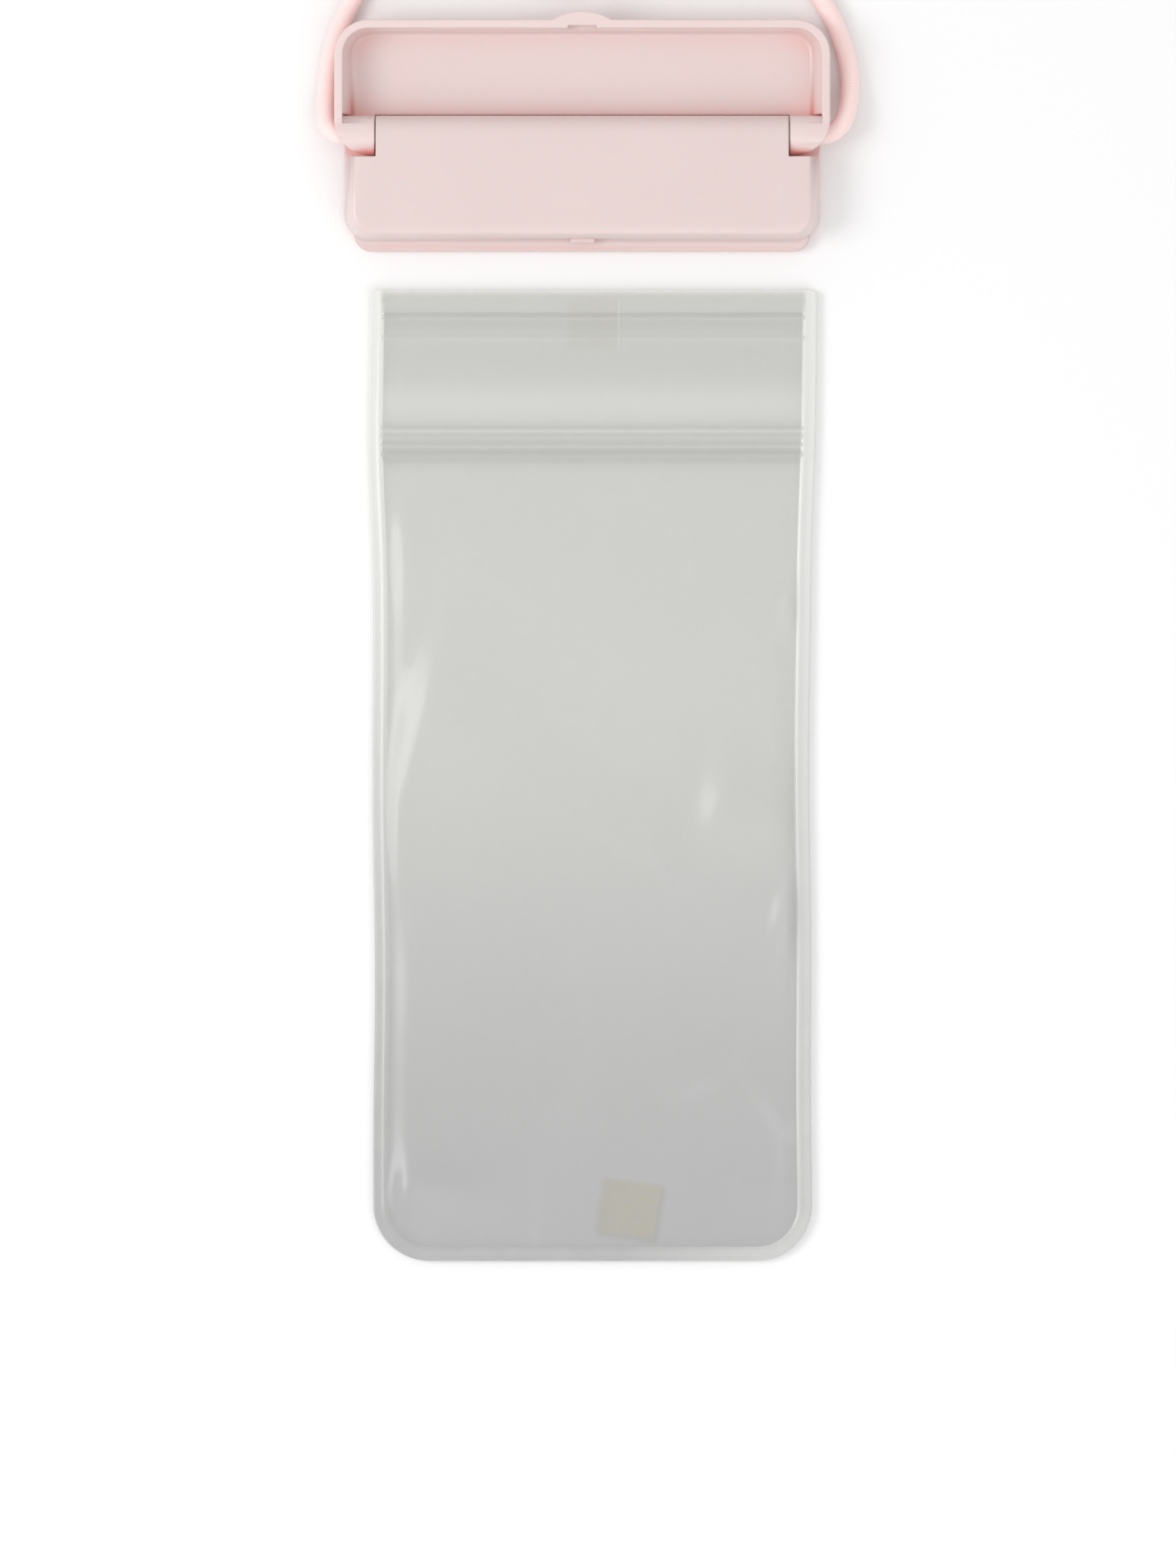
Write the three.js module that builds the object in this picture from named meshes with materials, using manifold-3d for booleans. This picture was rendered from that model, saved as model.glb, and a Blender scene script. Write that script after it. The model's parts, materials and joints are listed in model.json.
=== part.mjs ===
// Waterproof phone pouch: a clear welded bag, the hinged clip that grips its mouth, and a neck cord.
// It lies as it is laid out, with the clip open flat and the bag taken off it.
// Millimetres. X runs along the hinge, Y from the bag towards the cord, Z up from the surface.
import * as THREE from 'three';
import { mergeVertices } from 'three/addons/utils/BufferGeometryUtils.js';
import Module from 'manifold-3d';

const wasm = await Module();
wasm.setup();

// Hinge
const knuckleRadius = 4.8;
const knuckleLength = 9.8;
const boreRadius = 2.6;
const boreMouthRadius = 4.2;
const boreFlareLength = 5;
const trunnionRadius = 3.4;
const trunnionLength = 2.8;
const hingeClearance = 0.3;
const notchClearance = 0.4;

// Lid, a tapered tray
const lidWidth = 120.4;
const lidReach = 28;
const lidWall = 1.6;
const lidRimWall = 2;
const lidCornerRadius = 8.4;
const lidSideInset = 2.4;
const lidFarInset = 1;
const lidEdgeRound = 2;
const recessFloorRound = 1;
const openRestGap = 0.2;

// Thumb tab in the middle of the lid's long edge
const tabWidth = 14;
const tabRise = 2.1;
const tabThickness = 2.6;
const tabRoot = 3;

// Base, a raised plate with a lip in front
const filmGap = 0.8;
const sideGap = 0.5;
const plateSideInset = 1.7;
const plateFrontInset = 0.8;
const plateFootChamfer = 0.6;
const plateEdgeRound = 1;
const plateFrontRound = 2.4;
const plateCornerRadius = 6;
const lipHeight = 3;
const lipPinchGap = 0.4;
const lipSideInset = 2.4;
const lipCornerRadius = 4;

// Catch in the middle of the plate's front, and the slot for it in the lid
const catchWidth = 6;
const catchHeight = 2.6;
const catchRise = 1;
const catchClearance = 0.4;

// Cored back of the base
const skin = 2;
const ribThickness = 1.6;
const pocketCount = 7;
const pocketRadius = 1.2;
const hingeWall = 2.4;

// Bag
const gapToClip = 9.4;
const bagLength = 236;
const bagMouthWidth = 108.8;
const bagFootWidth = 106.2;
const bagTaperStart = 28;
const bagTaperEnd = 72;
const bagTaperEase = 14;
const bagMouthRadius = 2;
const bagFootRadius = 13.5;
const bagShift = 2.4;
const filmThickness = 0.375;
const weldWidth = 3.4;
const mouthHemHeight = 5.4;
const mouthHemRise = 0.5;
const mouthFlapHeight = 11.8;
const mouthFlapThickness = 0.2;

// Press seal: barbed ribs on one strip, pairs of hooked jaws on the other
const sealDrop = 33.2;
const sealHeight = 8.2;
const sealBase = 0.25;
const sealDepth = 1;
const sealEndClearance = 0.3;
const trackCount = 2;
const trackPitch = 4.6;
const ribStem = 0.4;
const ribHead = 0.9;
const ribTip = 0.2;
const ribNeckDepth = 0.44;
const ribHeadDepth = 0.48;
const ribTipDepth = 0.88;
const jawOuter = 2.2;
const jawCavity = 1.3;
const jawMouth = 0.66;
const jawUnderHook = 0.6;
const jawHookLow = 0.66;
const jawHookHigh = 0.8;
const jawTop = 0.88;

// Neck cord
const cordDiameter = 4.6;
const cordMouth = 54.4;
const coilCentreX = 0;
const coilCentreY = 192.5;
const coilOuterTurn = 30.5;
const coilTurnPitch = 4.8;
const coilTurnsPerLayer = 8 / 3;
const coilLayers = 2;
const coilCorner = 1.8;
const tieThickness = 0.6;
const tieWidth = 7;
const tieSlack = 0.8;
const pieceGap = 0.3;

// Facets
const roundSteps = 8;
const edgeSteps = 4;
const pocketSteps = 3;
const bagRoundSteps = 10;
const turnSteps = 40;
const cordSides = 12;
const cordSteps = 28;

// Modelling allowances: parts of one moulding run into each other, and a cut runs past the face it opens
const join = 0.5;
const overrun = 1;
const mergeTolerance = 1e-5;

// The share of an inset that a corner radius gives up
const cornerShare = 0.6;

// Places that follow from the sizes
const hingeHeight = knuckleRadius + filmGap + lidWall + openRestGap;
const plateTop = hingeHeight + knuckleRadius;
const lidRimHeight = 2 * hingeHeight - lipHeight - lipPinchGap;
const lidFloorHeight = openRestGap + lidWall;
const lidHalf = lidWidth / 2;
const knuckleInner = lidHalf - knuckleLength;
const barrelHalf = knuckleInner - hingeClearance;
const plateHalf = lidHalf - lidRimWall - sideGap;
const plateReach = lidReach - lidRimWall - filmGap;
const lipHalf = plateHalf - lipSideInset;
const notchRadius = knuckleRadius + notchClearance;
const catchLow = lipHeight + catchClearance;
const catchHigh = catchLow + catchHeight;
const bagThickness = 2 * filmThickness + 2 * sealBase + sealDepth;
const sealHalf = bagMouthWidth / 2 - weldWidth - sealEndClearance;
const partLength = tabRise + 2 * lidReach + gapToClip + bagLength;
const hingeY = partLength / 2 - tabRise - lidReach;
const bagTopY = bagLength - partLength / 2;
const cordRadius = cordDiameter / 2;
const coilInner = coilOuterTurn - coilTurnsPerLayer * coilTurnPitch - cordRadius;
const coilOuter = coilOuterTurn + cordRadius;
const coilBottom = tieThickness + pieceGap;
const coilTop = coilBottom + coilLayers * coilTurnPitch;
const far = 2 * lidWidth;

// Solids joined and cut as closed meshes
function signedVolume(position, triangles) {
  let sum = 0;
  const [a, b, c] = [new THREE.Vector3(), new THREE.Vector3(), new THREE.Vector3()];
  for (const [i, j, k] of triangles) {
    a.fromBufferAttribute(position, i);
    b.fromBufferAttribute(position, j);
    c.fromBufferAttribute(position, k);
    sum += a.dot(b.cross(c));
  }
  return sum / 6;
}

function solid(geometry) {
  const bare = geometry.index ? geometry.toNonIndexed() : geometry.clone();
  bare.deleteAttribute('normal');
  bare.deleteAttribute('uv');
  const merged = mergeVertices(bare, mergeTolerance);
  const corner = merged.index.array;
  let triangles = [];
  for (let t = 0; t < corner.length; t += 3) {
    const [i, j, k] = [corner[t], corner[t + 1], corner[t + 2]];
    if (i !== j && j !== k && k !== i) {
      triangles.push([i, j, k]);
    }
  }
  if (signedVolume(merged.attributes.position, triangles) < 0) {
    triangles = triangles.map(([i, j, k]) => [i, k, j]);
  }
  return new wasm.Manifold(new wasm.Mesh({
    numProp: 3,
    vertProperties: new Float32Array(merged.attributes.position.array),
    triVerts: new Uint32Array(triangles.flat()),
  }));
}

function geometryOf(manifold) {
  const mesh = manifold.getMesh();
  const geometry = new THREE.BufferGeometry();
  geometry.setAttribute('position', new THREE.BufferAttribute(new Float32Array(mesh.vertProperties), 3));
  geometry.setIndex(new THREE.BufferAttribute(new Uint32Array(mesh.triVerts), 1));
  const flat = geometry.toNonIndexed();
  flat.computeVertexNormals();
  return flat;
}

function block(x0, x1, y0, y1, z0, z1) {
  const box = new THREE.BoxGeometry(x1 - x0, y1 - y0, z1 - z0);
  box.translate((x0 + x1) / 2, (y0 + y1) / 2, (z0 + z1) / 2);
  return solid(box);
}

function polygon(points) {
  return new THREE.Shape(points.map(([x, y]) => new THREE.Vector2(x, y)));
}

// A shape drawn in Y and Z, carried along X from x0 to x1
function alongX(shape, x0, x1) {
  const geometry = new THREE.ExtrudeGeometry(shape, {
    depth: x1 - x0,
    bevelEnabled: false,
    curveSegments: roundSteps,
  });
  geometry.applyMatrix4(new THREE.Matrix4().set(0, 0, 1, x0, 1, 0, 0, 0, 0, 1, 0, 0, 0, 0, 0, 1));
  return solid(geometry);
}

// A shape drawn in X and Y, raised from z0 to z1
function upright(shape, z0, z1, curveSegments = roundSteps) {
  const geometry = new THREE.ExtrudeGeometry(shape, { depth: z1 - z0, bevelEnabled: false, curveSegments });
  geometry.translate(0, 0, z0);
  return solid(geometry);
}

// A profile of radius and X turned about the hinge line
function turnedOnHinge(profile) {
  const points = profile.map(([radius, x]) => new THREE.Vector2(radius, x));
  const geometry = new THREE.LatheGeometry(points, turnSteps);
  geometry.rotateZ(-Math.PI / 2);
  geometry.translate(0, 0, hingeHeight);
  return solid(geometry);
}

function rod(radius, x0, x1) {
  return turnedOnHinge([[0, x0], [radius, x0], [radius, x1], [0, x1]]);
}

function roundedRectangle(x0, x1, y0, y1, radius) {
  const shape = new THREE.Shape();
  shape.moveTo(x0 + radius, y0);
  shape.lineTo(x1 - radius, y0);
  shape.absarc(x1 - radius, y0 + radius, radius, -Math.PI / 2, 0, false);
  shape.lineTo(x1, y1 - radius);
  shape.absarc(x1 - radius, y1 - radius, radius, 0, Math.PI / 2, false);
  shape.lineTo(x0 + radius, y1);
  shape.absarc(x0 + radius, y1 - radius, radius, Math.PI / 2, Math.PI, false);
  shape.lineTo(x0, y0 + radius);
  shape.absarc(x0 + radius, y0 + radius, radius, Math.PI, 1.5 * Math.PI, false);
  return shape;
}

// The corner points of one level of a lofted tray or plate
function levelLoop({ x0, x1, y0, y1, nearRadius, farRadius, z }) {
  const corners = [
    [x1 - nearRadius, y0 + nearRadius, nearRadius, -Math.PI / 2],
    [x1 - farRadius, y1 - farRadius, farRadius, 0],
    [x0 + farRadius, y1 - farRadius, farRadius, Math.PI / 2],
    [x0 + nearRadius, y0 + nearRadius, nearRadius, Math.PI],
  ];
  return corners.flatMap(([x, y, radius, start]) => {
    const points = [];
    for (let step = 0; step <= roundSteps; step += 1) {
      const angle = start + (Math.PI / 2) * (step / roundSteps);
      points.push([x + radius * Math.cos(angle), y + radius * Math.sin(angle), z]);
    }
    return points;
  });
}

// A closed solid through levels that have as many points as each other
function lofted(levels) {
  const loops = levels.map(levelLoop);
  const count = loops[0].length;
  const middle = (loop) => {
    const xs = loop.map((point) => point[0]);
    const ys = loop.map((point) => point[1]);
    return [(Math.min(...xs) + Math.max(...xs)) / 2, (Math.min(...ys) + Math.max(...ys)) / 2, loop[0][2]];
  };
  const corners = [];
  for (let i = 0; i < count; i += 1) {
    const next = (i + 1) % count;
    corners.push(middle(loops[0]), loops[0][next], loops[0][i]);
    for (let level = 0; level + 1 < loops.length; level += 1) {
      const [low, high] = [loops[level], loops[level + 1]];
      corners.push(low[i], low[next], high[next], low[i], high[next], high[i]);
    }
    const top = loops[loops.length - 1];
    corners.push(middle(top), top[i], top[next]);
  }
  const geometry = new THREE.BufferGeometry();
  geometry.setAttribute('position', new THREE.Float32BufferAttribute(corners.flat(), 3));
  return solid(geometry);
}

// Lid: its three free sides lean out towards the rim, the two short ones more than the long one
function lidLevel(z, sideInset, farInset) {
  return {
    x0: -lidHalf + sideInset,
    x1: lidHalf - sideInset,
    y0: -knuckleRadius,
    y1: lidReach - farInset,
    nearRadius: lidCornerRadius,
    farRadius: lidCornerRadius - sideInset * cornerShare,
    z,
  };
}

function recessLevel(z, sideInset, farInset) {
  return {
    x0: -lidHalf + lidRimWall + sideInset,
    x1: lidHalf - lidRimWall - sideInset,
    y0: 0,
    y1: lidReach - lidRimWall - farInset,
    nearRadius: 0,
    farRadius: lidCornerRadius - lidRimWall - sideInset * cornerShare,
    z,
  };
}

// A tray's shape from its floor, through a rounded edge and up its sloped sides, to above the rim
function trayShape(level, floor, round) {
  const levels = [];
  for (let step = 0; step <= edgeSteps; step += 1) {
    const angle = (Math.PI / 2) * (step / edgeSteps);
    const z = floor + round * (1 - Math.cos(angle));
    const lean = (lidRimHeight - z) / (lidRimHeight - openRestGap);
    const drawn = round * (1 - Math.sin(angle));
    levels.push(level(z, lidSideInset * lean + drawn, lidFarInset * lean + drawn));
  }
  return lofted([...levels, level(lidRimHeight, 0, 0), level(plateTop + overrun, 0, 0)]);
}

function sideSpan(side, from, to) {
  return [Math.min(side * from, side * to), Math.max(side * from, side * to)];
}

// One end of the lid at the hinge: knuckle, the web that carries it, the links to the tray, and the trunnion
function lidEar(side, envelope) {
  const outside = lidHalf + overrun;
  const [k0, k1] = sideSpan(side, knuckleInner, outside);
  const [w0, w1] = sideSpan(side, plateHalf + sideGap, outside);
  const [t0, t1] = sideSpan(side, knuckleInner - trunnionLength, knuckleInner + join);
  const web = block(k0, k1, 0, knuckleRadius, 0, hingeHeight);
  const floorLink = block(k0, k1, 0, notchRadius + join, 0, lidFloorHeight);
  const wallLink = block(w0, w1, 0, notchRadius + join, 0, lidRimHeight);
  const ear = rod(knuckleRadius, k0, k1).add(web).add(floorLink).add(wallLink);
  return ear.intersect(envelope).add(rod(trunnionRadius, t0, t1));
}

// The passage for the cord through one ear, which flares at its mouth as a quarter ellipse
function earBore(side) {
  const inner = knuckleInner - trunnionLength - overrun;
  const profile = [[0, inner], [boreRadius, inner]];
  for (let step = 0; step <= roundSteps; step += 1) {
    const angle = (Math.PI / 2) * (step / roundSteps);
    const radius = boreMouthRadius - (boreMouthRadius - boreRadius) * Math.cos(angle);
    profile.push([radius, lidHalf - boreFlareLength + boreFlareLength * Math.sin(angle)]);
  }
  profile.push([boreMouthRadius, lidHalf + overrun], [0, lidHalf + overrun]);
  const mirrored = profile.map(([radius, x]) => [radius, -x]).reverse();
  return turnedOnHinge(side < 0 ? mirrored : profile);
}

function thumbTab() {
  const half = tabWidth / 2;
  const bulge = (half * half + tabRise * tabRise) / (2 * tabRise);
  const sweep = Math.asin(half / bulge);
  const shape = new THREE.Shape();
  shape.moveTo(-half, lidReach - tabRoot);
  shape.lineTo(half, lidReach - tabRoot);
  shape.lineTo(half, lidReach);
  shape.absarc(0, lidReach + tabRise - bulge, bulge, Math.PI / 2 - sweep, Math.PI / 2 + sweep, false);
  return upright(shape, lidRimHeight - tabThickness, lidRimHeight);
}

function catchSlot() {
  const half = catchWidth / 2 + catchClearance;
  const deep = plateReach + catchRise + catchClearance;
  const roof = 2 * hingeHeight - catchHigh - catchClearance;
  return block(-half, half, plateReach - plateFrontRound, deep, roof, lidRimHeight + overrun);
}

function buildLid() {
  const envelope = trayShape(lidLevel, openRestGap, lidEdgeRound);
  const behindHinge = block(-far, far, notchRadius, far, -far, lidRimHeight);
  const recess = trayShape(recessLevel, lidFloorHeight, recessFloorRound);
  let lid = envelope.intersect(behindHinge).add(thumbTab()).subtract(recess);
  for (const side of [-1, 1]) {
    lid = lid.add(lidEar(side, envelope)).subtract(earBore(side));
  }
  return lid.subtract(catchSlot());
}

// Base: a raised plate whose three free sides lean in, to sit inside the closed lid
function plateLevel(z, sideInset, frontInset) {
  return {
    x0: -plateHalf + sideInset,
    x1: plateHalf - sideInset,
    y0: -plateReach + frontInset,
    y1: 0,
    nearRadius: plateCornerRadius - sideInset * cornerShare,
    farRadius: 0,
    z,
  };
}

// The plate's upper edge is rounded, and drawn out further at the front, where the bag's mouth folds over it
function raisedPlate() {
  const shoulder = plateTop - plateEdgeRound;
  const levels = [
    plateLevel(0, plateFootChamfer, plateFootChamfer),
    plateLevel(plateFootChamfer, 0, 0),
    plateLevel(lipHeight, 0, 0),
  ];
  for (let step = 0; step <= edgeSteps; step += 1) {
    const angle = (Math.PI / 2) * (step / edgeSteps);
    const drawn = 1 - Math.cos(angle);
    const z = shoulder + plateEdgeRound * Math.sin(angle);
    const sideInset = plateSideInset + plateEdgeRound * drawn;
    levels.push(plateLevel(z, sideInset, plateFrontInset + plateFrontRound * drawn));
  }
  return lofted(levels);
}

function frontLip() {
  const back = -plateReach + plateCornerRadius;
  return upright(roundedRectangle(-lipHalf, lipHalf, -lidReach, back, lipCornerRadius), 0, lipHeight);
}

function catchNub() {
  const front = -plateReach;
  const middle = (catchLow + catchHigh) / 2;
  const shape = new THREE.Shape();
  shape.moveTo(front + plateFrontInset, catchLow);
  shape.lineTo(front, catchLow);
  shape.absellipse(front, middle, catchRise, catchHeight / 2, -Math.PI / 2, Math.PI / 2, true);
  shape.lineTo(front + plateFrontInset, catchHigh);
  return alongX(shape, -catchWidth / 2, catchWidth / 2);
}

function corePockets() {
  const width = 2 * (lipHalf - skin);
  const pitch = (width + ribThickness) / pocketCount;
  const front = -plateReach + plateFrontInset + skin;
  const back = -knuckleRadius - hingeWall;
  const pockets = Array.from({ length: pocketCount }, (unused, i) => {
    const x0 = -width / 2 + i * pitch;
    const outline = roundedRectangle(x0, x0 + pitch - ribThickness, front, back, pocketRadius);
    return upright(outline, -overrun, plateTop - skin, pocketSteps);
  });
  return pockets.reduce((all, pocket) => all.add(pocket));
}

// The room at each end for the lid's knuckle, for the web behind it, and for the web once the lid is shut
function hingeNotch(side) {
  const [n0, n1] = sideSpan(side, barrelHalf, plateHalf + overrun);
  const behind = block(n0, n1, -notchClearance, far, -overrun, far);
  const above = block(n0, n1, -notchRadius, far, hingeHeight, far);
  return rod(notchRadius, n0, n1).add(behind).add(above);
}

function barrelBore() {
  const counterRadius = trunnionRadius + hingeClearance;
  const step = knuckleInner - trunnionLength - 2 * hingeClearance;
  const end = barrelHalf + overrun;
  return turnedOnHinge([
    [0, -end],
    [counterRadius, -end],
    [counterRadius, -step],
    [boreRadius, -step],
    [boreRadius, step],
    [counterRadius, step],
    [counterRadius, end],
    [0, end],
  ]);
}

function buildBase() {
  const barrel = rod(knuckleRadius, -barrelHalf, barrelHalf);
  let base = raisedPlate().add(frontLip()).add(catchNub()).add(barrel).subtract(corePockets());
  for (const side of [-1, 1]) {
    base = base.subtract(hingeNotch(side));
  }
  return base.subtract(barrelBore());
}

// Bag outline, with the mouth at Y 0 and the foot at the far end, drawn in from the edge by an inset
function bagOutline(inset) {
  const mouth = bagMouthWidth / 2 - inset;
  const foot = bagFootWidth / 2 - inset;
  const top = -inset;
  const bottom = -bagLength + inset;
  const corner = bagMouthRadius;
  const round = bagFootRadius - inset * cornerShare;
  const [upper, lower] = [-bagTaperStart, -bagTaperEnd];
  const shape = new THREE.Shape();
  shape.moveTo(-foot + round, bottom);
  shape.lineTo(foot - round, bottom);
  shape.absarc(foot - round, bottom + round, round, -Math.PI / 2, 0, false);
  shape.lineTo(foot, lower);
  shape.bezierCurveTo(foot, lower + bagTaperEase, mouth, upper - bagTaperEase, mouth, upper);
  shape.lineTo(mouth, top - corner);
  shape.absarc(mouth - corner, top - corner, corner, 0, Math.PI / 2, false);
  shape.lineTo(-mouth + corner, top);
  shape.absarc(-mouth + corner, top - corner, corner, Math.PI / 2, Math.PI, false);
  shape.lineTo(-mouth, upper);
  shape.bezierCurveTo(-mouth, upper - bagTaperEase, -foot, lower + bagTaperEase, -foot, lower);
  shape.lineTo(-foot, bottom + round);
  shape.absarc(-foot + round, bottom + round, round, Math.PI, 1.5 * Math.PI, false);
  return shape;
}

// The folded hem inside the mouth: a low rounded roll, then the flap that is tacked to the film
function mouthHem(inside, inward) {
  const root = inside - inward * filmThickness / 2;
  const flap = inside + inward * mouthFlapThickness;
  const shape = new THREE.Shape();
  shape.moveTo(0, inside);
  shape.quadraticCurveTo(-mouthHemHeight / 2, inside + 2 * inward * mouthHemRise, -mouthHemHeight, flap);
  shape.lineTo(-mouthFlapHeight, flap);
  shape.lineTo(-mouthFlapHeight, root);
  shape.lineTo(0, root);
  return alongX(shape, -sealHalf, sealHalf);
}

function buildBackFilm() {
  return upright(bagOutline(0), 0, filmThickness, bagRoundSteps).add(mouthHem(filmThickness, 1));
}

function buildFrontFilm() {
  const inside = bagThickness - filmThickness;
  return upright(bagOutline(0), inside, bagThickness, bagRoundSteps).add(mouthHem(inside, -1));
}

// The weld runs down both sides and across the foot, and leaves the mouth open
function buildWeldRim() {
  const ring = upright(bagOutline(0), filmThickness, bagThickness - filmThickness, bagRoundSteps);
  const inside = upright(bagOutline(weldWidth), 0, bagThickness, bagRoundSteps);
  const half = bagMouthWidth / 2 - weldWidth;
  const mouth = block(-half, half, -weldWidth - bagMouthRadius, overrun, 0, bagThickness);
  return ring.subtract(inside).subtract(mouth);
}

function trackLines() {
  const first = -sealDrop - sealHeight / 2 + (trackPitch * (trackCount - 1)) / 2;
  return Array.from({ length: trackCount }, (unused, i) => first - i * trackPitch);
}

function sealBaseStrip(z0) {
  return block(-sealHalf, sealHalf, -sealDrop - sealHeight, -sealDrop, z0, z0 + sealBase);
}

// Ribs with barbed heads on the strip under the front film
function buildRibStrip() {
  const root = bagThickness - filmThickness - sealBase;
  const half = [
    [ribStem / 2, root + sealBase / 2],
    [ribStem / 2, root - ribNeckDepth],
    [ribHead / 2, root - ribHeadDepth],
    [ribTip / 2, root - ribTipDepth],
  ];
  const ribs = trackLines().map((track) => alongX(polygon([
    ...half.map(([y, z]) => [track - y, z]),
    ...half.toReversed().map(([y, z]) => [track + y, z]),
  ]), -sealHalf, sealHalf));
  return ribs.reduce((strip, rib) => strip.add(rib), sealBaseStrip(root));
}

// Pairs of hooked jaws on the strip over the back film, each pair round one rib
function buildJawStrip() {
  const root = filmThickness + sealBase;
  const jaw = [
    [jawOuter / 2, root - sealBase / 2],
    [jawOuter / 2, root + jawUnderHook],
    [jawCavity / 2, root + jawTop],
    [jawMouth / 2, root + jawHookHigh],
    [jawMouth / 2, root + jawHookLow],
    [jawCavity / 2, root + jawUnderHook],
    [jawCavity / 2, root - sealBase / 2],
  ];
  const jaws = trackLines().flatMap((track) => [-1, 1].map((side) => (
    alongX(polygon(jaw.map(([y, z]) => [track + side * y, z])), -sealHalf, sealHalf))));
  return jaws.reduce((strip, hook) => strip.add(hook), sealBaseStrip(filmThickness));
}

// Route of the cord's left run, from the hinge's mouth to the side of the coil, chosen by hand
const leftRoute = [
  [-cordMouth, hingeY, hingeHeight],
  [-57.2, hingeY, hingeHeight],
  [-59.4, hingeY + 0.3, hingeHeight - 0.1],
  [-61.5, hingeY + 1.7, hingeHeight - 0.6],
  [-62.8, hingeY + 4.2, hingeHeight - 1.6],
  [-63.1, hingeY + 7.5, hingeHeight - 3],
  [-63, hingeY + 11, 3.3],
  [-62.6, hingeY + 15, 2.6],
  [-61.6, hingeY + 19.5, 2.45],
  [-60.4, hingeY + 24, 2.4],
  [-58.6, hingeY + 28.5, 2.4],
  [-56.2, hingeY + 33, 2.4],
  [-51.4, hingeY + 40.5, 2.4],
  [-45.6, hingeY + 49, 2.5],
  [-40.4, hingeY + 57.4, 2.8],
  [-37.3, hingeY + 63.8, 3],
  [-35.6, hingeY + 71, 3.2],
];

// Route of the right run, which comes off the coil's upper layer and goes down to the surface
const rightRoute = [
  [cordMouth, hingeY, hingeHeight],
  [57.2, hingeY, hingeHeight],
  [59.5, hingeY + 0.3, hingeHeight - 0.1],
  [61.8, hingeY + 1.5, hingeHeight - 0.6],
  [63.6, hingeY + 4, hingeHeight - 1.6],
  [64.6, hingeY + 7.5, hingeHeight - 3],
  [65, hingeY + 11.2, 3.3],
  [64.9, hingeY + 15.4, 2.6],
  [64.1, hingeY + 19.8, 2.45],
  [62.6, hingeY + 24.4, 2.4],
  [60.6, hingeY + 29, 2.4],
  [58, hingeY + 33.4, 2.4],
  [53.2, hingeY + 40.6, 2.9],
  [47, hingeY + 49, 4.1],
  [40.8, hingeY + 57.4, 6],
  [37.4, hingeY + 63.8, 7.2],
  [35.6, hingeY + 71, 7.8],
];

function cordRun(route) {
  const points = route.map(([x, y, z]) => new THREE.Vector3(x, y, z));
  const section = new THREE.Shape();
  section.absarc(0, 0, cordRadius, 0, 2 * Math.PI, false);
  return new THREE.ExtrudeGeometry(section, {
    steps: cordSteps,
    curveSegments: cordSides / 2,
    bevelEnabled: false,
    extrudePath: new THREE.CatmullRomCurve3(points, false, 'centripetal'),
  });
}

function cordInHinge() {
  const length = 2 * (cordMouth - pieceGap);
  const geometry = new THREE.CylinderGeometry(cordRadius, cordRadius, length, cordSides);
  geometry.rotateZ(Math.PI / 2);
  geometry.translate(0, 0, hingeHeight);
  return geometry;
}

// The coil as one ring of the outer shape of its turns
function coilRing() {
  const profile = [
    [coilInner + coilCorner, coilBottom],
    [coilOuter - coilCorner, coilBottom],
    [coilOuter, coilBottom + coilCorner],
    [coilOuter, coilTop - coilCorner],
    [coilOuter - coilCorner, coilTop],
    [coilInner + coilCorner, coilTop],
    [coilInner, coilTop - coilCorner],
    [coilInner, coilBottom + coilCorner],
    [coilInner + coilCorner, coilBottom],
  ];
  const geometry = new THREE.LatheGeometry(profile.map(([x, y]) => new THREE.Vector2(x, y)), turnSteps);
  geometry.rotateX(Math.PI / 2);
  return solid(geometry);
}

// A band round the coil's turns at the side away from the clip
function coilTie() {
  const inner = coilInner - pieceGap - tieSlack;
  const outer = coilOuter + pieceGap + tieSlack;
  const top = coilTop + pieceGap;
  const width = tieWidth / 2;
  const band = block(-width, width, inner - tieThickness, outer + tieThickness, 0, top + tieThickness);
  return band.subtract(block(-far, far, inner, outer, tieThickness, top));
}

// Materials
const clipPlastic = () => new THREE.MeshStandardMaterial({ color: '#ecd6d4', roughness: 0.42, metalness: 0 });
const clearFilm = () => new THREE.MeshStandardMaterial({ color: '#cfd0cc', roughness: 0.18, metalness: 0 });
const weldPlastic = () => new THREE.MeshStandardMaterial({ color: '#d6d7d3', roughness: 0.2, metalness: 0 });
const sealPlastic = () => new THREE.MeshStandardMaterial({ color: '#c6c7c2', roughness: 0.25, metalness: 0 });
const cordWeave = () => new THREE.MeshStandardMaterial({ color: '#f3cfcd', roughness: 0.85, metalness: 0 });
const tieFabric = () => new THREE.MeshStandardMaterial({ color: '#f0c9c8', roughness: 0.9, metalness: 0 });

function addPiece(parent, name, geometry, material) {
  const mesh = new THREE.Mesh(geometry, material);
  mesh.name = name;
  parent.add(mesh);
}

const pouch = new THREE.Group();

const clip = new THREE.Group();
clip.position.y = hingeY;
addPiece(clip, 'clip_base', geometryOf(buildBase()), clipPlastic());
addPiece(clip, 'clip_lid', geometryOf(buildLid()), clipPlastic());
addPiece(clip, 'cord_in_hinge', cordInHinge(), cordWeave());
pouch.add(clip);

const bag = new THREE.Group();
bag.position.set(bagShift, bagTopY, 0);
addPiece(bag, 'bag_back_film', geometryOf(buildBackFilm()), clearFilm());
addPiece(bag, 'bag_front_film', geometryOf(buildFrontFilm()), clearFilm());
addPiece(bag, 'bag_weld_rim', geometryOf(buildWeldRim()), weldPlastic());
addPiece(bag, 'seal_jaw_strip', geometryOf(buildJawStrip()), sealPlastic());
addPiece(bag, 'seal_rib_strip', geometryOf(buildRibStrip()), sealPlastic());
pouch.add(bag);

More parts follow.
